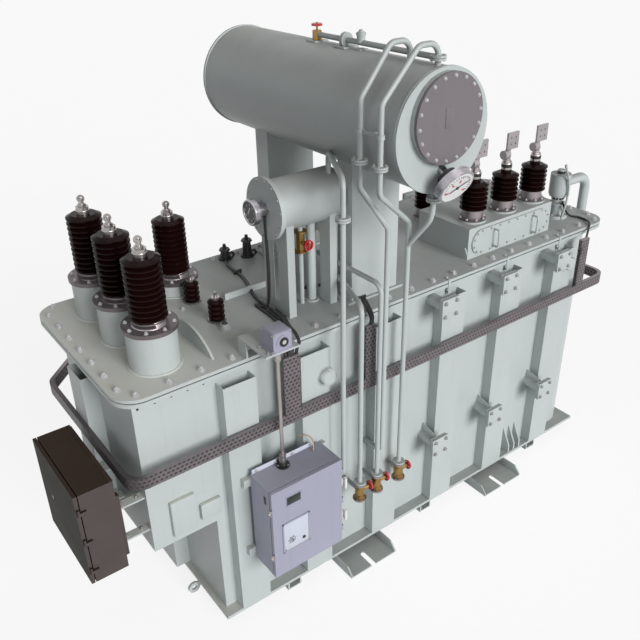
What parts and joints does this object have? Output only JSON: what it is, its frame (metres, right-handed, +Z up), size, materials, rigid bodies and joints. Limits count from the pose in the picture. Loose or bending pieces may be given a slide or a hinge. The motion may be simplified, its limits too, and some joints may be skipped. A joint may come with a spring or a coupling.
{
  "type": "oil-filled power transformer",
  "caption": "Power transformer tank on slotted foot channels, with conservators, brown bushings, flag terminals, drain valves, cable tray and two hinged cabinets.",
  "frame": {"origin": "on the ground under the middle of the lower tank, on the underside of the middle cross member", "axes": "+X along the tank towards the low-voltage end, -Y out of the front wall with the valves, +Z up"},
  "size_m": [4.858, 2.293, 3.81],
  "materials": {
    "tank_paint": "light grey-green semi-gloss paint",
    "lilac_paint": "lilac-grey paint",
    "hatch_paint": "darker grey paint",
    "wheel_paint": "red paint",
    "dark_sheet": "dark brown satin finish",
    "tray_sheet": "dull perforated sheet",
    "bare_flange": "dark machined steel",
    "clamp_metal": "zinc-grey casting",
    "stainless": "bright stainless",
    "terminal_metal": "tinned metal",
    "gauge_metal": "bright bezel",
    "brass": "cast brass",
    "porcelain": "dark brown glaze",
    "gasket": "black"
  },
  "bodies": {
    "transformer": {"base_plate": "tank_paint", "bevel_gearbox": "lilac_paint", "brass_valves": "brass", "bushing_clamp_rings": "clamp_metal", "bushing_flanges": "bare_flange", "cabinet_brackets": "tank_paint", "cable_tray": "tray_sheet", "cable_tray_lid": "tray_sheet", "conservator_ends": "tank_paint", "conservator_hatch": "hatch_paint", "conservator_legs": "tank_paint", "conservator_shell": "tank_paint", "cover_fins": "tank_paint", "cover_gasket": "gasket", "cross_members": "tank_paint", "drain_pipes": "tank_paint", "drive_cabinet": "lilac_paint", "drive_shaft": "stainless", "end_stiffeners": "tank_paint", "foot_channels": "tank_paint", "front_radiator_stubs": "tank_paint", "front_stiffeners": "tank_paint", "gearbox_bracket": "tank_paint", "hv_porcelains": "porcelain", "hv_turrets": "tank_paint", "jacking_brackets": "tank_paint", "lv_hatch_cover": "tank_paint", "lv_porcelains": "porcelain", "lv_terminals": "terminal_metal", "lv_turret": "tank_paint", "oil_gauge": "gauge_metal", "oltc_cover": "tank_paint", "oltc_gauge": "gauge_metal", "oltc_pipes": "tank_paint", "oltc_shell": "tank_paint", "oltc_supports": "tank_paint", "rear_radiator_stubs": "tank_paint", "rear_stiffeners": "tank_paint", "relief_device": "tank_paint", "relief_pipe": "tank_paint", "small_bushings": "porcelain", "stud_terminals": "stainless", "tank_rim": "tank_paint", "tank_shell": "tank_paint", "terminal_cabinet": "dark_sheet", "top_cover": "tank_paint", "valve_branches": "tank_paint", "vent_pipes": "tank_paint"},
    "drive_door": {"drive_cabinet_door": "lilac_paint"},
    "terminal_door": {"terminal_cabinet_door": "dark_sheet"},
    "handwheel_left_body": {"handwheel_left": "wheel_paint"},
    "handwheel_middle_body": {"handwheel_middle": "wheel_paint"},
    "handwheel_right_body": {"handwheel_right": "wheel_paint"},
    "handwheel_upper_body": {"handwheel_upper": "wheel_paint"},
    "handwheel_top_body": {"handwheel_top": "wheel_paint"}
  },
  "joints": [
    {"name": "drive_door_hinge", "type": "hinge", "parent": "transformer", "child": "drive_door", "pos_m": [-1.105, -1.0475, 0.9375], "axis": [0, 0, 1], "range_deg": [0, 110]},
    {"name": "terminal_door_hinge", "type": "hinge", "parent": "transformer", "child": "terminal_door", "pos_m": [-2.716, -0.712, 1.269], "axis": [0, 0, 1], "range_deg": [0, 110]},
    {"name": "handwheel_left_turn", "type": "hinge", "parent": "transformer", "child": "handwheel_left_body", "pos_m": [-0.724, -0.885, 0.745], "axis": [1, 0, 0], "range_deg": [0, 90]},
    {"name": "handwheel_middle_turn", "type": "hinge", "parent": "transformer", "child": "handwheel_middle_body", "pos_m": [-0.566, -0.885, 0.745], "axis": [1, 0, 0], "range_deg": [0, 90]},
    {"name": "handwheel_right_turn", "type": "hinge", "parent": "transformer", "child": "handwheel_right_body", "pos_m": [-0.352, -0.885, 0.745], "axis": [1, 0, 0], "range_deg": [0, 90]},
    {"name": "handwheel_upper_turn", "type": "hinge", "parent": "transformer", "child": "handwheel_upper_body", "pos_m": [-0.89, -0.431, 2.53], "axis": [0, -1, 0], "range_deg": [0, 90]},
    {"name": "handwheel_top_turn", "type": "hinge", "parent": "transformer", "child": "handwheel_top_body", "pos_m": [-0.429, 0.06, 3.774], "axis": [0, 0, 1], "range_deg": [0, 90]}
  ]
}
